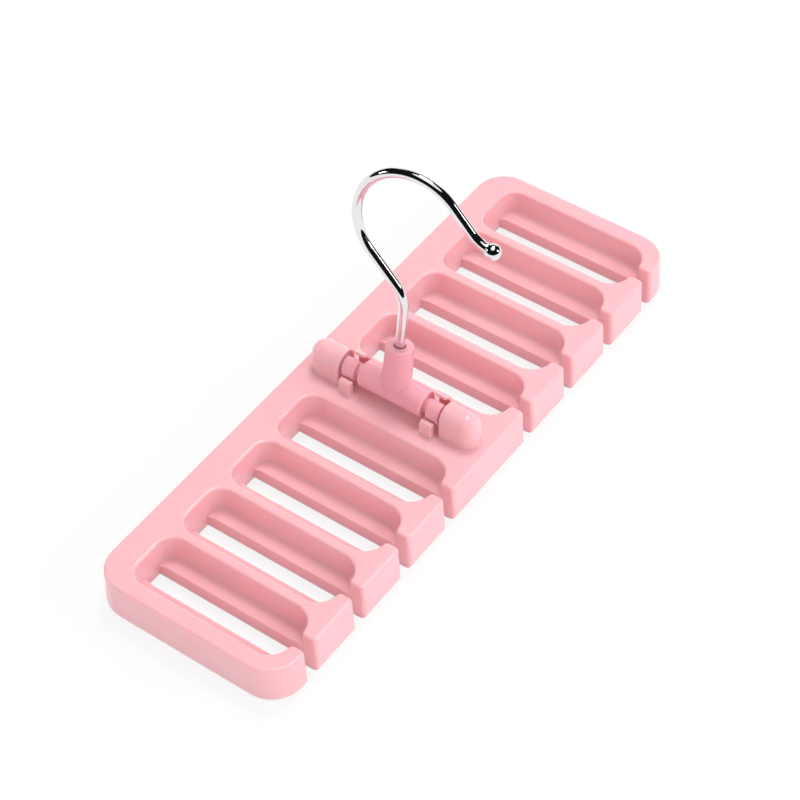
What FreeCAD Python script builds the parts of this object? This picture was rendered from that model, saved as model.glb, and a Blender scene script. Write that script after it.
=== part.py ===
import FreeCAD, Part
import math
import os

# A tie hanger: one moulded plate with eight tie pockets, a hinge tee sprung between two bearing
# domes on the plate, and a wire hook that swivels in the tee. Millimetres, +Z up.
# The origin is under the middle of the plate, X runs along it and the slot mouths face -Y.

# Plate: the tie pockets set its length, width and height
pockets_per_side = 4
pocket_width = 21.7
pocket_length = 59.3
pocket_depth = 9.4
rib_width = 3.1
strip_width = 24.3
end_wall = 6.0
front_wall = 5.6
back_rail = 10.5
floor_thickness = 4.2
foot_recess = 2.3
side_draft = 0.75
rim_width = 4.0
front_rim_width = 6.2
skin = 2.4

# Plate: slots and edges
slot_width = 6.5
slot_end_gap = 0.9
mouth_cut = 0.1
mouth_corner_radius = 2.0
pocket_corner_radius = 6.0
pocket_front_radius = 7.5
plate_corner_radius = 11.3
top_edge_chamfer = 0.7
foot_radius = 3.0

# Hinge tee
barrel_radius = 4.8
barrel_length = 25.6
barrel_lift = 1.9
barrel_chamfer = 0.5
neck_length = 1.9
cam_radius = 4.35
cam_width = 5.0
cam_flat_offset = 0.7
journal_radius = 2.7
boss_height = 17.8
boss_radius = 4.5
boss_chamfer = 0.5
bore_mouth_radius = 2.1
bore_mouth_depth = 0.9

# Bearing domes, spring fingers and clip arms on the plate
dome_radius = 5.0
dome_length = 14.0
dome_gap = 0.95
dome_rim_chamfer = 0.4
dome_root_chamfer = 0.5
socket_depth = 1.7
finger_gap = 0.9
finger_width = 5.8
finger_thickness = 2.4
finger_drop = 1.2
finger_root_chamfer = 0.4
finger_chamfer_depth = 0.7
finger_chamfer_height = 1.3
arm_thickness = 1.3
arm_wrap = 70.0

# Swivel hook and its washer
wire_radius = 1.7
stem_height = 33.5
stem_bend_radius = 12.0
hook_radius = 20.0
neck_slope = 42.8
lip_start_angle = 133.0
lip_length = 10.7
lip_bend_radius = 12.0
lip_bend_angle = 31.0
tip_radius = 2.8
tip_reach = 2.2
head_radius = 2.6
head_height = 1.1
head_chamfer = 0.6
washer_radius = 3.0
washer_thickness = 0.6
recess_radius = 3.3
recess_depth = 2.3

# Fits, the pose of the photograph, how far cuts run past a face, and how close counts as equal
running_clearance = 0.08
side_clearance = 0.35
end_clearance = 0.3
seat_clearance = 0.1
hook_lean = 9.5
hook_heading = 5.0
overrun = 5.0
tolerance = 1e-6

# Worked out from the sizes above
pocket_pitch = pocket_width + rib_width
group_length = pockets_per_side * pocket_pitch - rib_width
plate_length = strip_width + 2 * (group_length + end_wall + side_draft)
plate_width = front_wall + pocket_length + back_rail + 2 * side_draft
floor_top = foot_recess + floor_thickness
plate_height = floor_top + pocket_depth
pocket_front = side_draft + front_wall - plate_width / 2
pocket_back = pocket_front + pocket_length
axis_height = plate_height + barrel_lift + barrel_radius
cam_start = barrel_length / 2 + neck_length
cam_end = cam_start + cam_width
dome_start = cam_end + dome_gap
dome_end = dome_start + dome_length
finger_face = cam_radius + side_clearance
finger_start = barrel_length / 2 + finger_gap
finger_middle = finger_start + finger_width / 2
finger_end = finger_start + finger_width
pocket_centers = []
for i in range(pockets_per_side):
    offset = strip_width / 2 + pocket_width / 2 + i * pocket_pitch
    pocket_centers += [-offset, offset]

Y = FreeCAD.Vector(0, 1, 0)
Z = FreeCAD.Vector(0, 0, 1)


def point(x, y, z):
    return FreeCAD.Vector(x, y, z)


def flat_arc(center, radius, start, end):
    """A level arc between two angles in degrees from +X towards +Y."""
    angles = [math.radians(a) for a in (start, (start + end) / 2, end)]
    stops = [center + radius * point(math.cos(a), math.sin(a), 0) for a in angles]
    return Part.Arc(*stops)


def closed_wire(arcs):
    """A closed wire through the arcs in order, with a straight line wherever two don't meet."""
    edges = []
    for this, following in zip(arcs, arcs[1:] + arcs[:1]):
        edges.append(this.toShape())
        if this.EndPoint.distanceToPoint(following.StartPoint) > tolerance:
            edges.append(Part.LineSegment(this.EndPoint, following.StartPoint).toShape())
    return Part.Wire(edges)


def rounded_rectangle(half_x, half_y, radius, z):
    """A level rectangle about the Z axis with four round corners."""
    x = half_x - radius
    y = half_y - radius
    corners = [(x, -y, -90), (x, y, 0), (-x, y, 90), (-x, -y, 180)]
    return closed_wire([flat_arc(point(cx, cy, z), radius, start, start + 90) for cx, cy, start in corners])


def box(x0, x1, y0, y1, z0, z1):
    return Part.makeBox(x1 - x0, y1 - y0, z1 - z0, point(x0, y0, z0))


def cylinder_along_y(radius, y0, y1, z):
    return Part.makeCylinder(radius, y1 - y0, point(0, y0, z), Y)


def plate_outline(z):
    """The plate's outline at a height: the sides lean in by side_draft from the foot to the top."""
    inset = side_draft * z / plate_height
    radius = plate_corner_radius + side_draft - inset
    return rounded_rectangle(plate_length / 2 - inset, plate_width / 2 - inset, radius, z)


def pocket_tool(center):
    """One tie pocket: each side runs from the mouth round the throat and front corner to the back corner."""
    throat_x = slot_width / 2 - mouth_cut + mouth_corner_radius
    front_x = pocket_width / 2 - pocket_front_radius
    back_x = pocket_width / 2 - pocket_corner_radius
    reach = pocket_front_radius + mouth_corner_radius
    turn = math.degrees(math.acos((throat_x - front_x) / reach))
    front_y = pocket_front + pocket_front_radius
    throat_y = front_y - reach * math.sin(math.radians(turn))
    back_y = pocket_back - pocket_corner_radius
    right = [
        (throat_x, throat_y, mouth_corner_radius, 180, 180 - turn),
        (front_x, front_y, pocket_front_radius, -turn, 0),
        (back_x, back_y, pocket_corner_radius, 0, 90),
    ]
    left = [(-x, y, radius, 180 - end, 180 - start) for x, y, radius, start, end in reversed(right)]
    arcs = [flat_arc(point(center + x, y, floor_top), *sweep) for x, y, *sweep in right + left]
    return Part.Face(closed_wire(arcs)).extrude((pocket_depth + overrun) * Z)


def slot_tool(center):
    """The slot through the pocket floor and out of the front wall."""
    slot_back = pocket_back - slot_end_gap
    front = -plate_width / 2 - overrun
    half = slot_width / 2
    return box(center - half, center + half, front, slot_back, -overrun, plate_height + overrun)


def core_tools():
    """The moulding's underside: a shallow recess inside the rim and cored cells in the thick places."""
    inner_x = plate_length / 2 - rim_width
    inner_y = plate_width / 2 - rim_width
    inner_front = front_rim_width - plate_width / 2
    radius = plate_corner_radius + side_draft - rim_width
    recess = rounded_rectangle(inner_x, (inner_y - inner_front) / 2, radius, -overrun)
    recess.translate((inner_y + inner_front) / 2 * Y)
    tools = [Part.Face(recess).extrude((overrun + foot_recess) * Z)]
    cell_top = plate_height - skin
    rail_cell = pocket_width - skin
    for center in pocket_centers:
        side = rail_cell / 2
        tools.append(box(center - side, center + side, pocket_back + skin, inner_y, -overrun, cell_top))
    strip_half = strip_width / 2 - skin
    ribs = [inner_front, -finger_middle, 0, finger_middle, inner_y]
    for y0, y1 in zip(ribs, ribs[1:]):
        low = y0 + skin / 2
        high = y1 - skin / 2
        tools.append(box(-strip_half, strip_half, low, high, -overrun, cell_top))
    return tools


def dome(side):
    """A bearing dome: a round-topped, round-ended block with a bevelled rim on its inner face."""
    end_center = dome_end - dome_radius
    low = plate_height - skin / 2
    wall = box(-dome_radius, dome_radius, dome_start, end_center, low, axis_height)
    foot = Part.makeCylinder(dome_radius, axis_height - low, point(0, end_center, low))
    top = cylinder_along_y(dome_radius, dome_start, end_center, axis_height)
    cap = Part.makeSphere(dome_radius, point(0, end_center, axis_height))
    shape = wall.fuse([foot, top, cap]).removeSplitter()
    inner_face = [e for e in shape.Edges if e.BoundBox.YMax < dome_start + tolerance]
    inner_edges = [e for e in inner_face if e.BoundBox.ZMax > plate_height]
    shape = shape.makeChamfer(dome_rim_chamfer, inner_edges)
    if side < 0:
        shape = shape.mirror(point(0, 0, 0), Y)
    return shape


def socket(side):
    """The blind hole in a dome that a journal of the tee turns in."""
    bottom = point(0, side * (dome_start + socket_depth), axis_height)
    radius = journal_radius + running_clearance
    return Part.makeCylinder(radius, socket_depth + overrun, bottom, -side * Y)


def finger(side):
    """A spring finger on the -X side of a cam, with its outer top edge cut away."""
    outer = finger_face + finger_thickness
    low = plate_height - skin / 2
    high = axis_height - finger_drop
    profile = [
        (finger_face, low),
        (outer, low),
        (outer, high - finger_chamfer_height),
        (outer - finger_chamfer_depth, high),
        (finger_face, high),
    ]
    start = side * finger_middle - finger_width / 2
    points = [point(-x, start, z) for x, z in profile]
    return Part.Face(Part.makePolygon(points + points[:1])).extrude(finger_width * Y)


def clip_arm(side):
    """A clip arm on the +X side of a cam: it rises from the plate and wraps over the cam's sweep."""
    start = side * finger_middle - finger_width / 2
    center = point(0, start, axis_height)
    foot_z = plate_height - skin / 2
    arm_outside = finger_face + arm_thickness
    angles = [math.radians(a) for a in (0, arm_wrap / 2, arm_wrap)]
    ways = [point(math.cos(a), 0, math.sin(a)) for a in angles]
    inner = Part.Arc(*[center + finger_face * way for way in ways])
    outer = Part.Arc(*[center + arm_outside * way for way in reversed(ways)])
    outer_foot = point(finger_face + finger_thickness, start, foot_z)
    inner_foot = point(finger_face, start, foot_z)
    runs = [
        Part.LineSegment(inner_foot, inner.StartPoint),
        inner,
        Part.LineSegment(inner.EndPoint, outer.StartPoint),
        outer,
        Part.LineSegment(outer.EndPoint, outer_foot),
        Part.LineSegment(outer_foot, inner_foot),
    ]
    return Part.Face(Part.Wire([run.toShape() for run in runs])).extrude(finger_width * Y)


def front_mouth_edges(body):
    """The upright edges where the slots come out of the plate's front."""
    reach = max(pocket_centers) + slot_width
    upright = [e.BoundBox.ZLength > plate_height / 2 for e in body.Edges]
    in_front = [e.BoundBox.YMax < pocket_front and abs(e.BoundBox.Center.x) < reach for e in body.Edges]
    return [e for e, is_upright, is_front in zip(body.Edges, upright, in_front) if is_upright and is_front]


def hanger_plate():
    """The moulding: a drafted block with slots, pockets and cores, soft outer edges and its bearings."""
    block = Part.makeLoft([plate_outline(0), plate_outline(plate_height)], True, True)
    foot_edges = [e for e in block.Edges if e.BoundBox.ZMax < tolerance]
    envelope = block.makeFillet(foot_radius, foot_edges)
    rim_edges = [e for e in envelope.Edges if e.BoundBox.ZMin > plate_height - tolerance]
    envelope = envelope.makeChamfer(top_edge_chamfer, rim_edges)
    body = block.cut([slot_tool(c) for c in pocket_centers])
    body = body.makeFillet(mouth_corner_radius, front_mouth_edges(body))
    body = body.cut([pocket_tool(c) for c in pocket_centers])
    body = body.common(envelope).cut(core_tools())
    domes = [dome(side) for side in (-1, 1)]
    clips = [form(side) for form in (finger, clip_arm) for side in (-1, 1)]
    body = body.fuse(domes + clips)
    body = body.makeChamfer(dome_root_chamfer, root_edges(body, dome_start, dome_end))
    body = body.makeChamfer(finger_root_chamfer, root_edges(body, finger_start, finger_end))
    return body.cut([socket(side) for side in (-1, 1)])


def root_edges(body, near, far):
    """The edges where bearings rise out of the plate's top face, between two distances from the middle."""
    edges = []
    for edge in body.Edges:
        bounds = edge.BoundBox
        on_top = abs(bounds.ZMin - plate_height) + bounds.ZLength < tolerance
        near_axis = max(-bounds.XMin, bounds.XMax) < finger_face + finger_thickness + tolerance
        distance = abs(bounds.Center.y)
        if on_top and near_axis and near - tolerance < distance < far + tolerance:
            edges.append(edge)
    return edges


def hinge_tee():
    """A barrel with a bored boss for the hook's stem and, at each end, a neck, a half-round cam and a journal."""
    half = barrel_length / 2
    barrel = cylinder_along_y(barrel_radius, -half, half, 0)
    boss = Part.makeCylinder(boss_radius, boss_height)
    body = barrel.fuse(boss)
    body = body.makeChamfer(barrel_chamfer, circles(body, barrel_radius))
    body = body.makeChamfer(boss_chamfer, circles(body, boss_radius))
    journal_end = dome_start + socket_depth - end_clearance
    journal = cylinder_along_y(journal_radius, -journal_end, journal_end, 0)
    cams = [cam(side) for side in (-1, 1)]
    return body.fuse([journal] + cams).cut(stem_bore())


def cam(side):
    """A half-round cam: a disc on the barrel's axis, cut off flat behind the stem."""
    start = min(side * cam_start, side * cam_end)
    end = start + cam_width
    reach = cam_radius + overrun
    disc = cylinder_along_y(cam_radius, start, end, 0)
    return disc.cut(box(-cam_flat_offset, reach, start - overrun, end + overrun, -reach, reach))


def stem_bore():
    """The hole through boss and barrel, opened at the top, with a seat for the washer underneath."""
    bore_radius = wire_radius + running_clearance
    seat = recess_depth - barrel_radius
    bore = Part.makeCylinder(bore_radius, boss_height + barrel_radius, point(0, 0, -barrel_radius))
    mouth_bottom = point(0, 0, boss_height - bore_mouth_depth)
    mouth = Part.makeCone(bore_radius, bore_mouth_radius, bore_mouth_depth, mouth_bottom)
    recess = Part.makeCylinder(recess_radius, recess_depth + overrun, point(0, 0, seat), -Z)
    return bore.fuse([mouth, recess])


def circles(body, radius):
    """The circular edges of one radius."""
    rounds = [e for e in body.Edges if e.Curve.TypeId == "Part::GeomCircle"]
    return [e for e in rounds if abs(e.Curve.Radius - radius) < tolerance]


def washer_seat():
    """The height of the washer's upper face, on the stem, above the barrel's axis."""
    return recess_depth - barrel_radius - seat_clearance


def in_hook_plane(y, z):
    return point(0, y, z)


def arc(center, radius, start, end):
    """An arc in the hook's plane between two angles in degrees from +Y towards +Z."""
    angles = [math.radians(a) for a in (start, (start + end) / 2, end)]
    stops = [center + radius * in_hook_plane(math.cos(a), math.sin(a)) for a in angles]
    return Part.Arc(*stops)


def hook_path(bottom):
    """The wire's middle line: stem, bend, round hook, straight lip and a lip end that bends outwards."""
    slope = math.radians(neck_slope)
    run = ((stem_bend_radius + hook_radius) * math.sin(slope) - stem_bend_radius) / math.cos(slope)
    bend = arc(in_hook_plane(stem_bend_radius, stem_height), stem_bend_radius, 180, 90 + neck_slope)
    bow_start = bend.EndPoint + run * in_hook_plane(math.cos(slope), math.sin(slope))
    bow_center = bow_start + hook_radius * in_hook_plane(-math.sin(slope), math.cos(slope))
    bow = arc(bow_center, hook_radius, neck_slope - 90, lip_start_angle)
    heading = math.radians(lip_start_angle + 90)
    lip_end = bow.EndPoint + lip_length * in_hook_plane(math.cos(heading), math.sin(heading))
    outwards = in_hook_plane(math.sin(heading), -math.cos(heading))
    curl_center = lip_end + lip_bend_radius * outwards
    curl_start = lip_start_angle + 180
    curl = arc(curl_center, lip_bend_radius, curl_start, curl_start - lip_bend_angle)
    runs = [
        Part.LineSegment(in_hook_plane(0, bottom), bend.StartPoint),
        bend,
        Part.LineSegment(bend.EndPoint, bow.StartPoint),
        bow,
        Part.LineSegment(bow.EndPoint, curl.StartPoint),
        curl,
    ]
    return Part.Wire([run.toShape() for run in runs])


def swivel_hook():
    """The bent wire with its headed lower end and its rounded tip."""
    head_top = washer_seat() - washer_thickness
    path = hook_path(head_top)
    profile = Part.Wire(Part.makeCircle(wire_radius, in_hook_plane(0, head_top), Z))
    wire = path.makePipeShell([profile], True, False)
    head = Part.makeCylinder(head_radius, head_height, in_hook_plane(0, head_top), -Z)
    lower_rim = [e for e in head.Edges if e.BoundBox.ZMax < head_top - head_height + tolerance]
    head = head.makeChamfer(head_chamfer, lower_rim)
    end = path.Vertexes[-1].Point
    heading = math.radians(lip_start_angle + 90 - lip_bend_angle)
    along = in_hook_plane(math.cos(heading), math.sin(heading))
    tip = Part.makeSphere(tip_radius, end + tip_reach * along, along)
    return wire.fuse([head, tip])


def hook_washer():
    """The flat washer that spreads the load of the stem's head over the soft barrel."""
    top = point(0, 0, washer_seat())
    disc = Part.makeCylinder(washer_radius, washer_thickness, top, -Z)
    hole = Part.makeCylinder(wire_radius + running_clearance, washer_thickness, top, -Z)
    return disc.cut(hole)


def posed(shape, heading):
    """Turns a shape about the stem, leans it about the barrel's axis and lifts it onto the plate."""
    placed = shape.copy()
    placed.rotate(point(0, 0, 0), Z, heading)
    placed.rotate(point(0, 0, 0), Y, hook_lean)
    placed.translate(axis_height * Z)
    return placed


parts = {
    "hanger_plate": hanger_plate(),
    "hinge_tee": posed(hinge_tee(), 0),
    "swivel_hook": posed(swivel_hook(), hook_heading),
    "hook_washer": posed(hook_washer(), hook_heading),
}
os.makedirs("parts", exist_ok=True)
for name, shape in parts.items():
    shape.exportStep(f"parts/{name}.step")
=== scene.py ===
import math

import bmesh
import bpy
from bpy.props import FloatProperty, FloatVectorProperty, IntProperty, PointerProperty
from mathutils import Matrix, Vector
from mathutils.geometry import delaunay_2d_cdt


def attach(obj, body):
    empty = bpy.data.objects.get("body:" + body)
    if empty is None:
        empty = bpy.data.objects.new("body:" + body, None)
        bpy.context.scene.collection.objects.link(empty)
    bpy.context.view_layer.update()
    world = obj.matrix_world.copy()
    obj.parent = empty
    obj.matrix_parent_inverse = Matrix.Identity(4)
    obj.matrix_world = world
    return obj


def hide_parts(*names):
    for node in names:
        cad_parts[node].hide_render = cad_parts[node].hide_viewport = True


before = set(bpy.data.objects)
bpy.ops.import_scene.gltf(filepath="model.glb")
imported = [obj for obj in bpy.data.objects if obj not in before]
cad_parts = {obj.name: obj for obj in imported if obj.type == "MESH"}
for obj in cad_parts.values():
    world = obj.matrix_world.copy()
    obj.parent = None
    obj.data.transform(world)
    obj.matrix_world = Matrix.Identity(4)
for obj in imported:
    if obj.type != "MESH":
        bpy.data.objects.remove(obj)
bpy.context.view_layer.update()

bl_info = {
    "name": "Tie hanger",
    "version": (1, 0, 0),
    "blender": (4, 5, 0),
    "location": "3D View > Sidebar > Tie hanger",
    "description": "Dresses a moulded tie hanger with a folding, swivelling wire hook",
    "category": "Object",
}

MM = 0.001

# How finely curves are drawn, in steps
EDGE_STEPS = 6
SLOT_EDGE_STEPS = 4
FOOT_STEPS = 5
NOSE_STEPS = 8
THROAT_STEPS = 5
CORNER_STEPS = 14
CELL_STEPS = 4
DOME_STEPS = 24
DOME_ROWS = 12
ARM_STEPS = 8
CAM_STEPS = 3
BEND_STEPS = 14
BOW_STEPS = 80
CURL_STEPS = 12
TIP_STEPS = 20
ROUND_SIDES = 48
OVAL_SIDES = 64
WIRE_SIDES = 32
FLAG_ROWS = 12
# How finely straight runs are divided, in steps
FRONT_STEPS = 4
SIDE_STEPS = 10
BACK_STEPS = 3
BARREL_STEPS = 18
STEM_STEPS = 10
# Points closer than this are one point, in metres: in a mesh, in a flat fill, and at a cut's height
MERGE = 2e-7
FILL_MERGE = 1e-9
CUT_MERGE = 1e-6
# How often the line where the boss meets the barrel is worked out again from the last try
MEETING_TRIES = 12
# Where the barrel's skin is joined to itself, in degrees from its top, clear of the boss and the seat
SEAM = -120
# The lamps: name, place and size in metres, power in watts, and whether mirrors show them
LAMPS = [
    ("Top softbox", (0.38, 0.1, 1.19), (0.42, 0.42), 7.0, True),
    ("Front softbox", (0.66, -1.17, 0.72), (0.38, 0.38), 3.4, True),
    ("Front fill", (0.1, -1.42, 0.8), (0.9, 0.9), 7.2, False),
    ("Left fill", (-1.25, -0.6, 0.7), (0.9, 0.9), 3.6, False),
    ("Side softbox", (1.1, 0.52, 0.38), (1.2, 0.8), 2.5, True),
    ("Back lamp", (-0.53, 1.08, 0.49), (0.22, 0.22), 1.0, True),
]


def linear(code):
    """An sRGB hex code as linear red, green and blue."""
    parts = [int(code[i:i + 2], 16) / 255 for i in (0, 2, 4)]
    return [p / 12.92 if p <= 0.04045 else ((p + 0.055) / 1.055) ** 2.4 for p in parts]


def length(name, description, millimetres):
    return FloatProperty(
        name=name, description=description, default=millimetres * MM, unit="LENGTH", precision=5)


def tint(name, description, code):
    return FloatVectorProperty(name=name, description=description, default=linear(code), subtype="COLOR")


def turn(name, description, degrees):
    return FloatProperty(name=name, description=description, default=math.radians(degrees), subtype="ANGLE")


class PlateSettings(bpy.types.PropertyGroup):
    """Sizes and colours of the pocketed plate."""
    pockets: IntProperty(
        name="Pockets", description="Tie pockets on each side of the middle strip", default=4)
    pocket_width: length("Pocket width", "Across one pocket at its rim", 21.1)
    pocket_length: length("Pocket length", "From the front wall to the back rail", 59.3)
    pocket_depth: length("Pocket depth", "From the rim to the ledges", 9.4)
    pocket_taper: length("Pocket taper", "How far a pocket wall leans in towards the ledge", 0.5)
    rib_width: length("Rib width", "Between two pockets", 3.7)
    strip_width: length("Strip width", "Between the two groups of pockets", 24.9)
    end_wall: length("End wall", "Beside the outermost pockets", 6.3)
    front_wall: length("Front wall", "Thickness at the mouths", 5.6)
    back_rail: length("Back rail", "Behind the pockets", 10.5)
    floor: length("Floor thickness", "Of the ledges beside the slots", 4.2)
    recess: length("Foot recess", "Depth of the hollow inside the foot rim", 2.3)
    draft: length("Side draft", "How far the outside leans in from foot to rim", 0.75)
    rim: length("Foot rim", "Width of the rim that stands on the table", 4.0)
    front_rim: length("Front foot rim", "Width of that rim under the mouths", 6.2)
    skin: length("Skin", "Wall left round the cored cells", 2.4)
    slot_width: length("Slot width", "Across the slot's lower edge", 6.5)
    mouth_width: length("Mouth width", "Across the mouth in the front wall", 4.8)
    mouth_flare: length("Mouth flare", "How far the slot takes to widen behind its mouth", 3.0)
    slot_flare: length("Slot flare", "How far each slot wall leans back to the ledge", 0.7)
    slot_gap: length("Slot end gap", "From the slot to the back of the pocket", 0.5)
    mouth_radius: length("Mouth radius", "Rounding of the mouth's upright corners", 1.5)
    front_radius: length("Front radius", "Front corners of a pocket", 7.5)
    back_radius: length("Back radius", "Back corners of a pocket", 6.0)
    corner_radius: length("Corner radius", "Plate corners at the foot", 12.05)
    edge_radius: length("Edge radius", "Rounding of every top edge", 0.95)
    foot_radius: length("Foot radius", "Rounding of the lower outside edge", 3.0)
    floor_radius: length("Floor radius", "Hollow where a pocket's side wall meets its ledge", 2.4)
    back_floor: length("Back floor radius", "Hollow where a pocket's back wall meets its ledge", 1.2)
    slot_edge: length("Slot edge", "Rounding of the slot's upper edge", 0.35)
    dome_radius: length("Dome radius", "Of a bearing dome", 5.0)
    dome_start: length("Dome start", "From the middle to a dome's inner face", 20.65)
    dome_end: length("Dome end", "From the middle to a dome's outer end", 33.8)
    dome_edge: length("Dome edge", "Rounding round the inner face", 0.45)
    socket_radius: length("Socket radius", "Of the hole for a journal", 2.78)
    socket_depth: length("Socket depth", "Of the hole for a journal", 1.7)
    axis_height: length("Axis height", "Of the barrel's axis above the table", 22.6)
    finger_face: length("Finger face", "From the axis to a finger's inner face", 4.7)
    finger_thickness: length("Finger thickness", "Of a spring finger", 2.4)
    finger_width: length("Finger width", "Of a finger or clip arm, along the barrel", 4.8)
    finger_drop: length("Finger drop", "From the axis down to a finger's top", 1.2)
    finger_slope_depth: length("Finger slope depth", "Of the sloping outer top edge", 0.7)
    finger_slope_height: length("Finger slope height", "Of the sloping outer top edge", 1.3)
    finger_middle: length("Finger middle", "From the middle to a finger, along the barrel", 16.6)
    finger_edge: length("Finger edge", "Rounding of a finger's edges", 0.35)
    arm_thickness: length("Arm thickness", "Of a clip arm where it wraps over a cam", 1.3)
    arm_wrap: turn("Arm wrap", "How far a clip arm wraps over a cam", 70)
    root_radius: length("Root radius", "Hollow round the feet of domes and fingers", 0.45)
    pink: tint("Pink", "Body colour of the polypropylene", "F4B9C0")
    pale: tint("Pale pink", "Where the melt ran thin and the colour is lighter", "F5C0C6")

    def pitch(self):
        return self.pocket_width + self.rib_width

    def first(self):
        return (self.strip_width + self.pocket_width) / 2

    def size_x(self):
        group = self.pockets * self.pitch() - self.rib_width
        return self.strip_width + 2 * (group + self.end_wall + self.draft)

    def size_y(self):
        return self.front_wall + self.pocket_length + self.back_rail + 2 * self.draft

    def ledge(self):
        return self.recess + self.floor

    def height(self):
        return self.ledge() + self.pocket_depth

    def pocket_front(self):
        return self.draft + self.front_wall - self.size_y() / 2

    def pocket_back(self):
        return self.pocket_front() + self.pocket_length

    def centers(self):
        right = [self.first() + i * self.pitch() for i in range(self.pockets)]
        return [-c for c in reversed(right)] + right

    def inset(self, z):
        return self.draft * z / self.height()


class TeeSettings(bpy.types.PropertyGroup):
    """Sizes and colour of the hinge tee."""
    barrel_radius: length("Barrel radius", "Of the barrel between the cams", 4.8)
    barrel_half: length("Half barrel", "From the middle to a barrel end", 12.8)
    barrel_edge: length("Barrel edge", "Rounding of the barrel's ends", 0.55)
    journal_radius: length("Journal radius", "Of the necks and journals", 2.7)
    journal_end: length("Journal end", "From the middle to a journal's end", 22.05)
    cam_radius: length("Cam radius", "Of a half-round cam", 4.35)
    cam_start: length("Cam start", "From the middle to a cam", 14.7)
    cam_end: length("Cam end", "From the middle to a cam's far face", 19.7)
    cam_flat: length("Cam flat", "From the axis to the flat of a cam", 0.7)
    cam_edge: length("Cam edge", "Rounding of a cam's rim", 0.3)
    boss_height: length("Boss height", "Above the barrel's axis", 18.6)
    boss_top: length("Boss top radius", "At the boss's upper end", 4.72)
    boss_foot: length("Boss foot radius", "Across the barrel, where the boss would reach the axis", 4.78)
    boss_spread: length("Boss foot spread", "Along the barrel, where the boss would reach the axis", 5.5)
    boss_edge: length("Boss edge", "Rounding of the boss's top edge", 0.6)
    blend_across: length("Blend across", "Hollow where the boss meets the barrel's sides", 0.12)
    blend_along: length("Blend along", "Hollow where the boss meets the barrel's length", 0.4)
    bore_radius: length("Bore radius", "Of the hole for the stem", 1.78)
    mouth_radius: length("Bore mouth radius", "Of the hole's upper end", 2.1)
    mouth_depth: length("Bore mouth depth", "Of the widened upper end", 0.9)
    seat_radius: length("Seat radius", "Of the hollow for the washer", 3.3)
    seat_height: length("Seat height", "Of the washer's seat above the axis", -2.5)
    mauve: tint("Mauve pink", "Body colour of the polypropylene", "EFA9B6")
    pale: tint("Pale mauve", "Where the colour is lighter", "F2B4BF")


class HookSettings(bpy.types.PropertyGroup):
    """Sizes and pose of the wire hook and its washer."""
    wire_radius: length("Wire radius", "Of the plated wire", 1.7)
    stem_height: length("Stem height", "From the barrel's axis to the first bend", 33.5)
    stem_bend: length("Stem bend", "Radius of the first bend", 12.0)
    bow_radius: length("Bow radius", "Radius of the round hook", 20.0)
    neck_slope: turn("Neck slope", "Of the straight neck between the first bend and the bow", 42.8)
    lip_start: turn("Lip start", "Where the bow turns straight", 133)
    lip_length: length("Lip length", "Of the straight lip", 10.7)
    lip_bend: length("Lip bend", "Radius of the outward bend at the end", 12.0)
    lip_turn: turn("Lip turn", "How far the end bends outwards", 31)
    tip_radius: length("Tip radius", "Of the round tip", 2.8)
    tip_reach: length("Tip reach", "From the wire's end to the middle of the tip", 2.2)
    head_radius: length("Head radius", "Of the upset lower end", 2.6)
    head_height: length("Head height", "Of the upset lower end", 1.1)
    head_edge: length("Head edge", "Bevel under the head", 0.6)
    head_top: length("Head top", "Height of the head's upper face above the axis", -3.2)
    washer_radius: length("Washer radius", "Of the flat washer", 3.0)
    washer_hole: length("Washer hole", "Radius of the washer's hole", 1.78)
    washer_thickness: length("Washer thickness", "Of the flat washer", 0.6)
    washer_edge: length("Washer edge", "Bevel of the washer's edges", 0.12)
    lean: turn("Lean", "How far the hook leans from upright at rest", 9.5)
    heading: turn("Heading", "How far the hook is turned about its stem at rest", 5)
    plating: tint("Plating", "Reflected colour of the bright plating", "E9EAEC")
    zinc: tint("Zinc", "Reflected colour of the passivated zinc", "C9CCCE")


class StageSettings(bpy.types.PropertyGroup):
    """The studio: floor, flags and camera."""
    floor_size: length("Floor size", "Edge of the floor sheet", 6000)
    floor_white: tint("Floor white", "Paper sweep", "F4F2F4")
    flag_reach: length("Flag reach", "From the middle of the set to the black flags", 2800)
    flag_low: turn("Flag low edge", "Elevation where the black flags start", 2)
    flag_high: turn("Flag high edge", "Elevation where the black flags end", 66)
    lens: FloatProperty(name="Lens", description="Focal length on a 36 mm sensor, in mm", default=113.51)
    azimuth: turn("Azimuth", "Camera heading", -52.68)
    elevation: turn("Elevation", "Camera height above the horizon", 47.93)
    roll: turn("Roll", "Camera roll", -2.04)
    distance: length("Distance", "From the camera to its target", 866.9)
    target: FloatVectorProperty(
        name="Target", description="Point in the middle of the picture",
        default=(12.83 * MM, 8.23 * MM, 0), subtype="TRANSLATION", unit="LENGTH",
    )


# Mesh helpers

def steps(count):
    """Even fractions from 0 to 1."""
    return [i / count for i in range(count + 1)]


def spread(start, end, part):
    """A value or point at a fraction of the way between two."""
    return start + (end - start) * part


def arc(center, radius, start, end, count):
    """Points on a level arc between two angles in degrees, each with its direction from the centre."""
    stations = []
    for part in steps(count):
        angle = math.radians(spread(start, end, part))
        out = Vector((math.cos(angle), math.sin(angle)))
        stations.append((Vector(center) + radius * out, out))
    return stations


def quarter(count):
    """Sine and cosine over a quarter turn."""
    return [(math.sin(part * math.pi / 2), math.cos(part * math.pi / 2)) for part in steps(count)]


def lift(place, z):
    return Vector((place.x, place.y, z))


def add_rows(bm, rows, closed=False):
    """Quads between rows of points. Returns the rows as vertices."""
    made = [[bm.verts.new(p) for p in row] for row in rows]
    for upper, lower in zip(made, made[1:]):
        count = len(upper)
        for i in range(count if closed else count - 1):
            j = (i + 1) % count
            bm.faces.new([upper[i], upper[j], lower[j], lower[i]])
    return made


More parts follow.
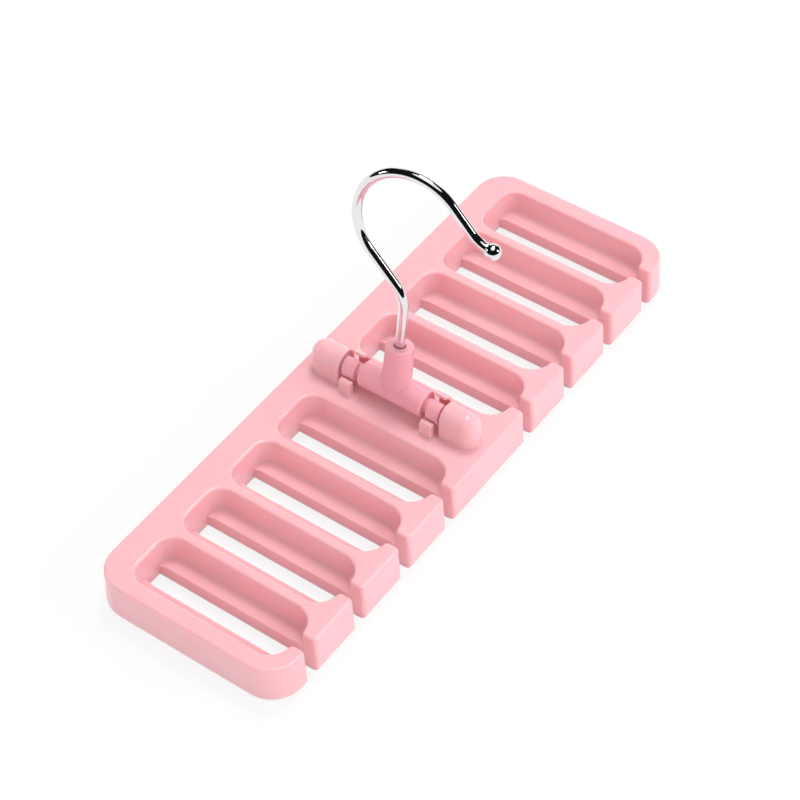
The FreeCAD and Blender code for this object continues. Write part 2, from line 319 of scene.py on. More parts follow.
def add_columns(bm, columns, closed=False):
    """Quads between columns of points."""
    add_rows(bm, list(zip(*columns)), closed)


def crossings(spot, sides):
    """How many sides a level line from a spot to the right passes through."""
    passed = 0
    for a, b in sides:
        if (a.y > spot.y) != (b.y > spot.y):
            passed += spot.x < a.x + (b.x - a.x) * (spot.y - a.y) / (b.y - a.y)
    return passed


def fill_flat(bm, loops, flatten, raise_up, extra=()):
    """Triangles between closed loops of points: the first is the outside, the rest are holes."""
    points = [p for loop in loops for p in loop]
    edges = []
    for loop in loops:
        base = len(edges)
        edges += [(base + i, base + (i + 1) % len(loop)) for i in range(len(loop))]
    flat = [flatten(p) for p in points] + list(extra)
    keep_inside = 1
    places, _, faces, _, _, _ = delaunay_2d_cdt(flat, edges, [], keep_inside, FILL_MERGE)
    verts = [bm.verts.new(raise_up(place)) for place in places]
    sides = [(flat[a], flat[b]) for a, b in edges]
    for face in faces:
        middle = sum((places[i] for i in face), Vector((0, 0))) / len(face)
        if crossings(middle, sides) % 2:
            bm.faces.new([verts[i] for i in face])


def weld(bm):
    """Merges what touches and drops what has no size."""
    bmesh.ops.remove_doubles(bm, verts=bm.verts, dist=MERGE)
    bmesh.ops.dissolve_degenerate(bm, edges=bm.edges, dist=MERGE)


def store_mesh(bm, name):
    mesh = bpy.data.meshes.new(name)
    bm.to_mesh(mesh)
    bm.free()
    return mesh


def open_mesh(bm, name):
    """Stores a mesh that may have open edges, such as part of a larger one."""
    weld(bm)
    return store_mesh(bm, name)


def close_mesh(bm, name):
    """Turns the faces outwards and stores a mesh that has to be closed."""
    weld(bm)
    bmesh.ops.recalc_face_normals(bm, faces=bm.faces)
    open_edges = [e for e in bm.edges if len(e.link_faces) != 2]
    if open_edges:
        at = open_edges[0].verts[0].co / MM
        raise RuntimeError(f"{name} has {len(open_edges)} open edges, one at {tuple(at)}")
    return store_mesh(bm, name)


def add_object(name, mesh):
    piece = bpy.data.objects.new(name, mesh)
    bpy.context.scene.collection.objects.link(piece)
    return piece


def finish_piece(piece, material, body, node, sharp=40):
    """Smooth shading up to an angle in degrees, one material, and the piece's place in the frame."""
    mesh = piece.data
    mesh.shade_smooth()
    mesh.set_sharp_from_angle(angle=math.radians(sharp))
    weigh = piece.modifiers.new("Flat faces stay flat", "WEIGHTED_NORMAL")
    weigh.keep_sharp = True
    weigh.weight = 90
    mesh.materials.clear()
    mesh.materials.append(material)
    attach(piece, body)
    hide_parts(node)


# Node helpers

def add_node(tree, kind, settings=None, inputs=None):
    """Adds a node, gives it its settings, and sets or links its inputs by name or number."""
    node = tree.nodes.new(kind)
    for name, value in (settings or {}).items():
        setattr(node, name, value)
    for key, value in (inputs or {}).items():
        if isinstance(value, bpy.types.NodeSocket):
            tree.links.new(value, node.inputs[key])
        else:
            node.inputs[key].default_value = value
    return node


def new_tree(name, sockets):
    """A geometry node group with named inputs, and what it is given."""
    tree = bpy.data.node_groups.new(name, "GeometryNodeTree")
    tree.interface.new_socket("Geometry", in_out="OUTPUT", socket_type="NodeSocketGeometry")
    for title, kind in [("Geometry", "Geometry")] + sockets:
        tree.interface.new_socket(title, in_out="INPUT", socket_type="NodeSocket" + kind)
    return tree, add_node(tree, "NodeGroupInput").outputs


def through_nodes(form, tree, values):
    """A form's mesh after a node group, whose inputs are set by the identifiers of their sockets."""
    modifier = form.modifiers.new(tree.name, "NODES")
    modifier.node_group = tree
    for item in tree.interface.items_tree:
        if item.in_out == "INPUT" and item.name in values:
            modifier[item.identifier] = values[item.name]
    graph = bpy.context.evaluated_depsgraph_get()
    bm = bmesh.new()
    bm.from_mesh(bpy.data.meshes.new_from_object(form.evaluated_get(graph), depsgraph=graph))
    return bm


def seen_directly(tree):
    """1 where the camera, a mirror or glass looks, and 0 for light on its way between surfaces."""
    rays = add_node(tree, "ShaderNodeLightPath").outputs
    seen = rays["Is Camera Ray"]
    for name in ("Is Glossy Ray", "Is Transmission Ray"):
        either = add_node(tree, "ShaderNodeMath", {"operation": "MAXIMUM"}, {0: seen, 1: rays[name]})
        seen = either.outputs["Value"]
    return seen


def new_material(name):
    material = bpy.data.materials.new(name)
    material.use_nodes = True
    material.node_tree.nodes.clear()
    return material


def moulded_polypropylene(name, body_colour, pale_colour):
    """Polypropylene from a polished mould: clear highlights with soft edges, some light inside the plastic,
    faint cloudy flow marks and a very fine grain."""
    material = new_material(name)
    tree = material.node_tree
    where = add_node(tree, "ShaderNodeTexCoord").outputs["Object"]
    cloud_size = 28 * MM
    cloud = add_node(tree, "ShaderNodeTexNoise", inputs={
        "Vector": where, "Scale": 1 / cloud_size, "Detail": 2.0, "Roughness": 0.5, "Distortion": 0.6})
    # Inputs 6 and 7 and output 2 of this node are its colours
    colour = add_node(tree, "ShaderNodeMix", {"data_type": "RGBA"}, {
        "Factor": cloud.outputs["Fac"], 6: (*body_colour, 1), 7: (*pale_colour, 1)})
    haze_size = 6 * MM
    haze = add_node(tree, "ShaderNodeTexNoise", inputs={
        "Vector": where, "Scale": 1 / haze_size, "Detail": 3.0})
    gloss = add_node(tree, "ShaderNodeMapRange", inputs={
        "Value": haze.outputs["Fac"], "To Min": 0.12, "To Max": 0.17})
    # The real grain is about 0.05 mm, drawn at 0.35 mm so that it shows
    grain_size = 0.35 * MM
    grain = add_node(tree, "ShaderNodeTexNoise", inputs={
        "Vector": where, "Scale": 1 / grain_size, "Detail": 2.0})
    bump = add_node(tree, "ShaderNodeBump", inputs={
        "Height": grain.outputs["Fac"], "Strength": 0.02, "Distance": 0.05 * MM})
    shader = add_node(tree, "ShaderNodeBsdfPrincipled", inputs={
        "Base Color": colour.outputs[2], "Roughness": gloss.outputs["Result"], "IOR": 1.49,
        "Subsurface Weight": 0.6, "Subsurface Radius": (1.0, 0.25, 0.22), "Subsurface Scale": 3 * MM,
        "Normal": bump.outputs["Normal"]})
    add_node(tree, "ShaderNodeOutputMaterial", inputs={"Surface": shader.outputs["BSDF"]})
    return material


def plated_metal(name, colour, low, high, mark_size):
    """Plated metal: it mirrors in the plating's colour, a little duller in small marks left by the metal
    under it. The roughness runs from low to high."""
    material = new_material(name)
    tree = material.node_tree
    where = add_node(tree, "ShaderNodeTexCoord").outputs["Object"]
    marks = add_node(tree, "ShaderNodeTexNoise", inputs={
        "Vector": where, "Scale": 1 / mark_size, "Detail": 2.0})
    gloss = add_node(tree, "ShaderNodeMapRange", inputs={
        "Value": marks.outputs["Fac"], "To Min": low, "To Max": high})
    shader = add_node(tree, "ShaderNodeBsdfPrincipled", inputs={
        "Base Color": (*colour, 1), "Metallic": 1.0, "Roughness": gloss.outputs["Result"]})
    add_node(tree, "ShaderNodeOutputMaterial", inputs={"Surface": shader.outputs["BSDF"]})
    return material


# The plate

def foot_height(p, reach):
    """Height of the rounded lower edge at a distance in from the outside."""
    if reach >= p.foot_radius:
        return 0.0
    if reach < MERGE:
        return p.foot_radius
    return p.foot_radius - math.sqrt(max(0.0, p.foot_radius ** 2 - (p.foot_radius - reach) ** 2))


def foot_rows(p):
    """Reach and height of each row of the rounded lower edge."""
    return [(p.foot_radius * (1 - c), p.foot_radius * (1 - s)) for s, c in quarter(FOOT_STEPS)]


def half_pocket(p):
    """One side of a pocket, from the nose of its mouth to the middle of its back. Each station has the
    rim's point, the way into the wall, whether it leans with the front, the slot's edge, and whether the
    foot rim lies under it."""
    lip = p.mouth_width / 2
    half = p.slot_width / 2
    side = p.pocket_width / 2
    radius = p.mouth_radius
    front = -p.size_y() / 2
    rim_end = front + p.front_rim
    sideways = Vector((1, 0))
    backwards = Vector((0, 1))

    def slot_edge(y):
        share = min(1.0, (y - rim_end) / p.mouth_flare)
        return Vector((spread(lip, half, share), y))

    # Mouth
    stations = []
    for point, out in arc((lip + radius, front + radius), radius, 270, 180, NOSE_STEPS):
        stations.append((point, -out, 1.0, point, True))
    for reach in [reach for reach, _ in foot_rows(p) if reach > radius]:
        point = Vector((lip, front + reach))
        stations.append((point, sideways, 1.0, point, True))

    # Throat, first over the foot rim and then behind it
    throat_x = lip + radius
    front_x = side - p.front_radius
    front_y = p.pocket_front() + p.front_radius
    between = p.front_radius + radius
    bend = math.degrees(math.acos((throat_x - front_x) / between))
    throat_y = front_y - between * math.sin(math.radians(bend))
    throat = (throat_x, throat_y)
    rim_turn = 180 - math.degrees(math.asin((rim_end - throat_y) / radius))
    for point, out in arc(throat, radius, 180, rim_turn, THROAT_STEPS):
        stations.append((point, -out, 0.0, Vector((lip, point.y)), True))
    for point, out in arc(throat, radius, rim_turn, 180 - bend, NOSE_STEPS - THROAT_STEPS)[1:]:
        stations.append((point, -out, 0.0, slot_edge(point.y), False))

    # Front corner and side
    for point, out in arc((front_x, front_y), p.front_radius, -bend, 0, CORNER_STEPS)[1:]:
        stations.append((point, out, 0.0, slot_edge(point.y), False))
    back_x = side - p.back_radius
    back_y = p.pocket_back() - p.back_radius
    for part in steps(SIDE_STEPS)[1:]:
        y = spread(front_y, back_y, part)
        stations.append((Vector((side, y)), sideways, 0.0, slot_edge(y), False))

    # Back corner and back
    slot_back = p.pocket_back() - p.slot_gap
    corner = arc((back_x, back_y), p.back_radius, 0, 90, CORNER_STEPS)
    for part in (0.5, 1):
        corner.append((Vector((spread(back_x, half, part), p.pocket_back())), backwards))
    edges = [Vector((half, spread(back_y, slot_back, part))) for part in steps(len(corner) - 1)]
    for (point, out), edge in list(zip(corner, edges))[1:]:
        stations.append((point, out, 0.0, edge, False))
    for part in steps(BACK_STEPS)[1:]:
        x = half * (1 - part)
        stations.append((Vector((x, p.pocket_back())), backwards, 0.0, Vector((x, slot_back)), False))
    return stations


def rim_reaches(p):
    """How far in from the front each throat station over the foot rim is."""
    throat = [point for point, _, leans, _, on_rim in half_pocket(p) if on_rim and not leans]
    return [point.y + p.size_y() / 2 for point in throat]


def whole_pocket(p):
    """Both sides of a pocket, from the left nose round to the right one."""
    right = half_pocket(p)
    left = []
    for station in right:
        left.append(tuple(Vector((-v.x, v.y)) if isinstance(v, Vector) else v for v in station))
    return left + right[-2::-1]


def pocket_column(p, station):
    """The points down one station of a pocket: rim, wall, hollow, ledge, slot edge and slot wall."""
    point, into, leans, edge, _ = station
    back = Vector((0, 1))
    top = p.height()
    ledge = p.ledge()
    column = []
    for s, c in reversed(quarter(EDGE_STEPS)):
        z = top - p.edge_radius * (1 - s)
        place = point + into * p.edge_radius * (1 - c) + back * leans * p.inset(z)
        column.append(lift(place, z))
    across = edge - point
    lean = -into if into.y > 0 else across.normalized()
    foot = point + lean * min(p.pocket_taper, across.length)
    across = edge - foot
    width = across.length
    toward = across / width if width > MERGE else Vector((0, 0))
    # A narrow ledge gives the hollow and the slot's edge a share of its width at most
    hollow_share = 0.6
    edge_share = 0.15
    hollow = spread(p.floor_radius, p.back_floor, max(0.0, into.y))
    hollow = min(hollow, hollow_share * width)
    rounding = min(p.slot_edge, edge_share * width)
    flare = min(p.slot_flare, edge_share * width)
    for s, c in quarter(EDGE_STEPS):
        z = ledge + hollow * (1 - s)
        place = foot + toward * hollow * (1 - c) + back * leans * p.inset(z)
        column.append(lift(place, z))
    for s, c in quarter(SLOT_EDGE_STEPS):
        z = ledge - rounding * (1 - c)
        place = edge - toward * (flare + rounding * (1 - s)) + back * leans * p.inset(z)
        column.append(lift(place, z))
    reach = point.y + p.size_y() / 2
    low = max(p.recess, foot_height(p, reach)) if leans else p.recess
    column.append(lift(edge + back * leans * p.inset(low), low))
    return column


def pocket_liner(p):
    """The inside of one pocket, its slot and its mouth, about X = 0."""
    stations = whole_pocket(p)
    bm = bmesh.new()
    add_columns(bm, [pocket_column(p, station) for station in stations])
    back = Vector((0, 1))
    for side in (stations, stations[::-1]):
        uppers = []
        lowers = []
        for point, _, leans, edge, on_rim in side:
            if not on_rim:
                break
            low = foot_height(p, point.y + p.size_y() / 2)
            high = max(p.recess, low)
            uppers.append(lift(edge + back * leans * p.inset(high), high))
            lowers.append(lift(edge + back * leans * p.inset(low), low))
        add_rows(bm, [uppers, lowers])
    return open_mesh(bm, "pocket_liner")


def front_run(p, x0, x1):
    """Stations along the front from one mouth to the next, or to a corner."""
    y = -p.size_y() / 2
    return [(Vector((spread(x0, x1, part), y)), Vector((0, 1))) for part in steps(FRONT_STEPS)]


def outside_runs(p):
    """The outside between the mouths: short runs along the front, then the long way round the plate."""
    nose = p.mouth_width / 2 + p.mouth_radius
    centers = p.centers()
    runs = [front_run(p, a + nose, b - nose) for a, b in zip(centers, centers[1:])]
    radius = p.corner_radius
    x = p.size_x() / 2 - radius
    y = p.size_y() / 2 - radius
    around = front_run(p, centers[-1] + nose, x)[:-1]
    for cx, cy, start in [(x, -y, 270), (x, y, 0), (-x, y, 90), (-x, -y, 180)]:
        around += [(point, -out) for point, out in arc((cx, cy), radius, start, start + 90, CORNER_STEPS)]
    around += front_run(p, -x, centers[0] - nose)[1:]
    return runs + [around]


def outside_column(p, point, into):
    """The points down the outside: rounded rim and leaning wall to the start of the foot."""
    column = []
    for s, c in reversed(quarter(EDGE_STEPS)):
        z = p.height() - p.edge_radius * (1 - s)
        column.append(lift(point + into * (p.edge_radius * (1 - c) + p.inset(z)), z))
    for z in (p.ledge(), p.foot_radius):
        column.append(lift(point + into * p.inset(z), z))
    return column


def foot_column(p, point, into, least):
    """The points under the outside: rounded foot, rim and the recess wall, from a least reach inwards."""
    column = []
    for reach, z in foot_rows(p):
        if reach < least:
            reach = least
            z = foot_height(p, least)
        column.append(lift(point + into * (reach + p.inset(z)), z))
    end = recess_edge(p, point, into)
    start = point + into * p.foot_radius
    for reach in rim_reaches(p):
        share = (reach - p.foot_radius) / (p.front_rim - p.foot_radius)
        column.append(lift(spread(start, end, share), 0.0))
    column.append(lift(end, p.recess))
    return column


def recess_edge(p, point, into):
    """The recess's edge inside a point of the outline: the rim is wider along the front."""
    inner = p.size_y() / 2 - p.rim
    front = p.front_rim - p.size_y() / 2
    edge = point + into * p.rim
    edge.y = front + (edge.y + inner) * (inner - front) / (2 * inner)
    return edge


def nose_feet(p, center, side):
    """Foot stations under the nose on one side of a mouth, from the mouth outwards: the point, the way in
    and the least reach."""
    front = -p.size_y() / 2
    feet = []
    for point, *_ in half_pocket(p)[NOSE_STEPS::-1]:
        feet.append((Vector((center + side * point.x, front)), Vector((0, 1)), point.y - front))
    return feet


def rectangle_rings(x0, x1, y0, y1, radius, heights, shrink):
    """Rings of a round-cornered rectangle that narrows as it rises."""
    rings = []
    for z in heights:
        less = shrink * (z - heights[0]) / (heights[-1] - heights[0])
        ring = []
        corners = [(x1, y0, 270, -1, 1), (x1, y1, 0, -1, -1), (x0, y1, 90, 1, -1), (x0, y0, 180, 1, 1)]
        for x, y, start, dx, dy in corners:
            center = (x + dx * radius, y + dy * radius)
            bend = arc(center, radius - less, start, start + 90, CELL_STEPS)
            ring += [lift(point, z) for point, _ in bend]
        rings.append(ring)
    return rings


def cell_rings(p):
    """The cored cells under the back rail and the middle strip."""
    heights = [p.recess, p.height() - p.skin]
    radius = 1.2 * MM
    lean = 0.4 * MM
    cells = []
    inner_y = p.size_y() / 2 - p.rim
    wall_gap = 0.6 * MM
    corner_reach = 1.5 * MM
    side = (p.pocket_width - p.skin) / 2
    reach = p.size_x() / 2 - p.corner_radius + corner_reach
    for c in p.centers():
        x0 = max(c - side, -reach)
        x1 = min(c + side, reach)
        cells.append((x0, x1, p.pocket_back() + p.skin, inner_y - wall_gap))
    half = p.strip_width / 2 - p.skin
    ribs = [p.front_rim - p.size_y() / 2, -p.finger_middle, 0, p.finger_middle, inner_y]
    for y0, y1 in zip(ribs, ribs[1:]):
        cells.append((-half, half, y0 + p.skin / 2, y1 - p.skin / 2))
    return [rectangle_rings(*cell, radius, heights, lean) for cell in cells]


def open_edges_at(bm, z, near):
    """A mesh's open edges at one height."""
    edges = [e for e in bm.edges if len(e.link_faces) == 1]
    return [e for e in edges if all(abs(v.co.z - z) < near for v in e.verts)]


def boundary_loop(mesh, z):
    """The points of a mesh's open loop at one height, in order."""
    bm = bmesh.new()
    bm.from_mesh(mesh)
    edges = open_edges_at(bm, z, MERGE)
    follow = {}
    for edge in edges:
        a, b = edge.verts
        follow.setdefault(a, []).append(b)
        follow.setdefault(b, []).append(a)
    start = edges[0].verts[0]
    loop = [start]
    before = None
    while True:
        ways = [v for v in follow[loop[-1]] if v is not before]
        before = loop[-1]
        if ways[0] is start:
            break
        loop.append(ways[0])
    points = [v.co.copy() for v in loop]
    bm.free()
    return points


def flare_root(bm, p):
    """Cuts a standing shape off above the plate and spreads its foot onto the plate's top."""
    level = p.height() + p.root_radius
    geom = bm.verts[:] + bm.edges[:] + bm.faces[:]
    bmesh.ops.bisect_plane(bm, geom=geom, plane_co=(0, 0, level), plane_no=(0, 0, -1), clear_outer=True)
    bmesh.ops.recalc_face_normals(bm, faces=bm.faces)
    bm.normal_update()
    edges = open_edges_at(bm, level, CUT_MERGE)
    ring = {v: v for e in edges for v in e.verts}
    ways = {}
    for vert in ring:
        way = Vector((0, 0))
        for face in vert.link_faces:
            way += Vector((face.normal.x, face.normal.y)).normalized()
        ways[vert] = way.normalized()
    for s, c in quarter(EDGE_STEPS)[1:]:
        lower = {}
        for vert, way in ways.items():
            place = Vector((vert.co.x, vert.co.y)) + way * p.root_radius * (1 - c)
            lower[vert] = bm.verts.new(lift(place, level - p.root_radius * s))
        for edge in edges:
            a, b = edge.verts
            bm.faces.new([ring[a], ring[b], lower[b], lower[a]])
        ring = lower


def standing_form(p, profile, name):
    """A block of one profile across the barrel, about Y = 0, with soft edges and a flared foot."""
    bm = bmesh.new()
    half = p.finger_width / 2
    near = [bm.verts.new((x, -half, z)) for x, z in profile]
    far = [bm.verts.new((x, half, z)) for x, z in profile]
    bm.faces.new(near)
    bm.faces.new(far[::-1])
    for i in range(len(profile)):
        j = (i + 1) % len(profile)
        bm.faces.new([near[j], near[i], far[i], far[j]])
    bmesh.ops.recalc_face_normals(bm, faces=bm.faces)
    least_angle = math.radians(20)
    edges = [e for e in bm.edges if e.calc_face_angle() > least_angle]
    bmesh.ops.bevel(
        bm, geom=edges, offset=p.finger_edge, segments=3, profile=0.5, affect="EDGES", clamp_overlap=True)
    flare_root(bm, p)
    return open_mesh(bm, name)


def spring_finger(p):
    """One spring finger on the -X side of a cam, with its outer top edge cut away."""
    inner = -p.finger_face
    outer = inner - p.finger_thickness
    high = p.axis_height - p.finger_drop
    low = p.height() - 2 * p.finger_edge
    profile = [(inner, low), (outer, low), (outer, high - p.finger_slope_height),
               (outer + p.finger_slope_depth, high), (inner, high)]
    return standing_form(p, profile, "spring_finger")


def clip_arm(p):
    """One clip arm on the +X side of a cam, wrapped over the cam's sweep."""
    inner = p.finger_face
    low = p.height() - 2 * p.finger_edge
    wrap = arc((0, p.axis_height), 1.0, 0, math.degrees(p.arm_wrap), ARM_STEPS)
    axis = Vector((0, p.axis_height))
    profile = [(inner + p.finger_thickness, low), (inner, low)]
    profile += [axis + inner * way for _, way in wrap]
    profile += [axis + (inner + p.arm_thickness) * way for _, way in reversed(wrap)]
    return standing_form(p, profile, "clip_arm")


def bearing_dome(p):
    """One bearing dome on the +Y side, with the socket for a journal in its inner face."""
    radius = p.dome_radius
    start = p.dome_start
    end = p.dome_end - radius
    low = p.height() - p.dome_edge
    rows = []
    levels = [(low, radius)] + [(p.axis_height + radius * s, radius * c) for s, c in quarter(DOME_ROWS)]
    for z, wide in levels:
        row = [Vector((wide, start, z))]
        row += [lift(point, z) for point, _ in arc((0, end), wide, 0, 180, DOME_STEPS)]
        row.append(Vector((-wide, start, z)))
        rows.append(row)
    bm = bmesh.new()
    made = add_rows(bm, rows)
    bm.faces.new([row[0] for row in made] + [row[-1] for row in reversed(made[:-1])])
    bm.faces.new(made[0])
    weld(bm)
    bmesh.ops.recalc_face_normals(bm, faces=bm.faces)
    rim = [e for e in bm.edges if all(abs(v.co.y - start) < MERGE for v in e.verts)]
    rim = [e for e in rim if max(v.co.z for v in e.verts) > low + MERGE]
    bmesh.ops.bevel(
        bm, geom=rim, offset=p.dome_edge, segments=4, profile=0.5, affect="EDGES", clamp_overlap=False)
    flare_root(bm, p)
    flat = [f for f in bm.faces if all(abs(v.co.y - start) < MERGE for v in f.verts)]
    face = max(flat, key=lambda f: f.calc_area())
    outside = [v.co.copy() for v in face.verts]
    bm.faces.remove(face)
    ring = []
    for part in steps(ROUND_SIDES)[:-1]:
        angle = 2 * math.pi * part
        ring.append((p.socket_radius * math.cos(angle), p.axis_height + p.socket_radius * math.sin(angle)))
    hole = [Vector((x, start, z)) for x, z in ring]
    fill_flat(bm, [outside, hole], lambda v: Vector((v.x, v.z)), lambda v: Vector((v.x, start, v.y)))
    deep = [Vector((x, start + p.socket_depth, z)) for x, z in ring]
    made = add_rows(bm, [hole, deep], closed=True)
    bm.faces.new(made[-1])
    return open_mesh(bm, "bearing_dome")


def plate_shell(p, clips, dome):
    """The plate without its pockets: outside, foot, top face, underside and cored cells."""
    bm = bmesh.new()
    runs = outside_runs(p)
    centers = p.centers()
    stations = whole_pocket(p)
    columns = [pocket_column(p, station) for station in stations]
    top_loop = []
    under_loop = []
    slot_points = [column[-1] for column, (*_, on_rim) in zip(columns, stations) if not on_rim]
    for i, run in enumerate(runs):
        outside = [outside_column(p, point, into) for point, into in run]
        add_columns(bm, outside)
        before = centers[i]
        after = centers[(i + 1) % len(centers)]
        feet = nose_feet(p, before, 1)[:-1]
        feet += [(point, into, 0.0) for point, into in run]
        feet += nose_feet(p, after, -1)[-2::-1]
        under = [foot_column(p, point, into, least) for point, into, least in feet]
        add_columns(bm, under)
        top_loop += [c[0] + Vector((before, 0, 0)) for c in columns]
        top_loop += [c[0] for c in outside[1:-1]]
        under_loop += [v + Vector((before, 0, 0)) for v in slot_points]
        under_loop += [c[-1] for c in under]
    level = p.height()
    half_turn = Matrix.Rotation(math.pi, 4, "Z")
    dome_loop = boundary_loop(dome, level)
    holes = [dome_loop, [half_turn @ v for v in dome_loop]]
    for clip in clips:
        loop = boundary_loop(clip, level)
        for y in (-p.finger_middle, p.finger_middle):
            holes.append([v + Vector((0, y, 0)) for v in loop])
    fill_flat(bm, [top_loop] + holes, lambda v: v.xy, lambda v: lift(v, level))
    cells = cell_rings(p)
    loops = [under_loop] + [rings[0] for rings in cells]
    fill_flat(bm, loops, lambda v: v.xy, lambda v: lift(v, p.recess))
    for rings in cells:
        made = add_rows(bm, rings, closed=True)
        bm.faces.new(made[-1])
    return open_mesh(bm, "plate_shell")


def moulding_tree(material):
    """Geometry nodes that set pockets, fingers, arms and domes into the plate and close the moulding."""
    sockets = [(name, "Object") for name in ("Pocket", "Finger", "Arm", "Dome")]
    sockets += [(name, "Float") for name in ("First Pocket", "Pitch", "Clip Middle")]
    tree, given = new_tree("Moulding", sockets + [("Pockets", "Int")])
    # Each row: what stands in it, how many, its first place, the step between places, and its axis
    rows = [
        ("Pocket", given["Pockets"], ("First Pocket", 1), ("Pitch", 1), "X"),
        ("Pocket", given["Pockets"], ("First Pocket", -1), ("Pitch", -1), "X"),
        ("Finger", 2, ("Clip Middle", -1), ("Clip Middle", 2), "Y"),
        ("Arm", 2, ("Clip Middle", -1), ("Clip Middle", 2), "Y"),
    ]
    join = add_node(tree, "GeometryNodeJoinGeometry")
    tree.links.new(given["Geometry"], join.inputs["Geometry"])
    for name, count, start, step, axis in rows:
        places = []
        for size, times in (start, step):
            along = add_node(tree, "ShaderNodeMath", {"operation": "MULTIPLY"}, {
                0: given[size], 1: times})
            place = add_node(tree, "ShaderNodeCombineXYZ", inputs={axis: along.outputs["Value"]})
            places.append(place.outputs["Vector"])
        line = add_node(tree, "GeometryNodeMeshLine", inputs={
            "Count": count, "Start Location": places[0], "Offset": places[1]})
        form = add_node(tree, "GeometryNodeObjectInfo", inputs={"Object": given[name]})
        row = add_node(tree, "GeometryNodeInstanceOnPoints", inputs={
            "Points": line.outputs["Mesh"], "Instance": form.outputs["Geometry"]})
        tree.links.new(row.outputs["Instances"], join.inputs["Geometry"])
    middle = add_node(tree, "GeometryNodeMeshLine", inputs={"Count": 1})
    dome = add_node(tree, "GeometryNodeObjectInfo", inputs={"Object": given["Dome"]})
    for heading in (0, math.pi):
        turned = add_node(tree, "GeometryNodeInstanceOnPoints", inputs={
            "Points": middle.outputs["Mesh"], "Instance": dome.outputs["Geometry"],
            "Rotation": (0, 0, heading)})
        tree.links.new(turned.outputs["Instances"], join.inputs["Geometry"])
    real = add_node(tree, "GeometryNodeRealizeInstances", inputs={"Geometry": join.outputs["Geometry"]})
    closed = add_node(tree, "GeometryNodeMergeByDistance", inputs={
        "Geometry": real.outputs["Geometry"], "Distance": 2 * MERGE})
    finish = add_node(tree, "GeometryNodeSetMaterial", inputs={
        "Geometry": closed.outputs["Geometry"], "Material": material})
    add_node(tree, "NodeGroupOutput", inputs={"Geometry": finish.outputs["Geometry"]})
    return tree


class HANGER_OT_plate(bpy.types.Operator):
    """Makes the pocketed plate with its bearing domes and spring fingers"""
    bl_idname = "hanger.plate"
    bl_label = "Hanger plate"

    def execute(self, context):
        p = context.scene.hanger_plate
        material = moulded_polypropylene("Polished moulded polypropylene, pink", p.pink, p.pale)
        finger = add_object("finger_form", spring_finger(p))
        arm = add_object("arm_form", clip_arm(p))
        dome = add_object("dome_form", bearing_dome(p))
        pocket = add_object("pocket_form", pocket_liner(p))
        shell = add_object("plate_form", plate_shell(p, [finger.data, arm.data], dome.data))
        bm = through_nodes(shell, moulding_tree(material), {
            "Pocket": pocket, "Finger": finger, "Arm": arm, "Dome": dome, "First Pocket": p.first(),
            "Pitch": p.pitch(), "Clip Middle": p.finger_middle, "Pockets": p.pockets})
        for form in (finger, arm, dome, pocket, shell):
            bpy.data.objects.remove(form)
        piece = add_object("plate_moulding", close_mesh(bm, "plate_moulding"))
        finish_piece(piece, material, "plate", "hanger_plate")
        return {"FINISHED"}


# The tee

def boss_point(t, way, z, less=0.0):
    """A point of the boss in one direction: the top is round, and the foot is long along the barrel."""
    share = z / t.boss_height
    across = spread(t.boss_foot, t.boss_top, share) - less
    along = spread(t.boss_spread, t.boss_top, share) - less
    return Vector((across * way.x, along * way.y, z))


def on_barrel(t, around, along):
    """A point of the barrel: distance round it from the top, and along it."""
    angle = around / t.barrel_radius
    return Vector((t.barrel_radius * math.sin(angle), along, t.barrel_radius * math.cos(angle)))


def boss_columns(t):
    """The points down each side of the boss, from its top edge to the barrel."""
    columns = []
    feet = []
    for part in steps(OVAL_SIDES)[:-1]:
        angle = 2 * math.pi * part
        way = Vector((math.cos(angle), math.sin(angle)))
        z = t.barrel_radius
        for _ in range(MEETING_TRIES):
            x = boss_point(t, way, z).x
            z = math.sqrt(max(0.0, t.barrel_radius ** 2 - x * x))
        meet = boss_point(t, way, z)
        feet.append(Vector((t.barrel_radius * math.atan2(meet.x, meet.z), meet.y)))
        column = []
        for s, c in reversed(quarter(EDGE_STEPS)):
            height = t.boss_height - t.boss_edge * (1 - s)
            column.append(boss_point(t, way, height, t.boss_edge * (1 - c)))
        blend = spread(t.blend_across, t.blend_along, way.y ** 2)
        column.append(boss_point(t, way, z + blend))
        columns.append((column, meet, blend))
    loop = []
    rows = []
    count = len(feet)
    for i, (column, meet, blend) in enumerate(columns):
        along = feet[(i + 1) % count] - feet[i - 1]
        out = Vector((along.y, -along.x)).normalized()
        foot = feet[i] + out * blend
        loop.append(foot)
        start = column[-1]
        end = on_barrel(t, foot.x, foot.y)
        for part in steps(EDGE_STEPS)[1:]:
            rest = 1 - part
            column.append(start * rest ** 2 + meet * 2 * part * rest + end * part ** 2)
        rows.append(column)
    return rows, loop


def cam_ring(t, y, less):
    """The outline of a journal with its half-round cam, drawn in by less at the cam's rim."""
    radius = t.cam_radius - less
    edge = math.degrees(math.asin(t.cam_flat / radius))
    # The sides of the ring that the cam takes, in degrees from the top
    first = -22.5
    last = -157.5
    ring = []
    for i in range(ROUND_SIDES):
        angle = SEAM + 360 * i / ROUND_SIDES
        place = Vector((math.sin(math.radians(angle)), math.cos(math.radians(angle)))) * t.journal_radius
        wrapped = angle if angle <= 180 else angle - 360
        if last - 1 < wrapped < first + 1:
            share = (wrapped - first) / (last - first)
            bend = math.radians(-edge + share * (2 * edge - 180))
            place = Vector((math.sin(bend), math.cos(bend))) * radius
        ring.append(Vector((place.x, y, place.y)))
    return ring


def round_ring(radius, y):
    """A ring about the barrel's axis that starts at the seam."""
    ring = []
    for i in range(ROUND_SIDES):
        angle = math.radians(SEAM + 360 * i / ROUND_SIDES)
        ring.append(Vector((radius * math.sin(angle), y, radius * math.cos(angle))))
    return ring


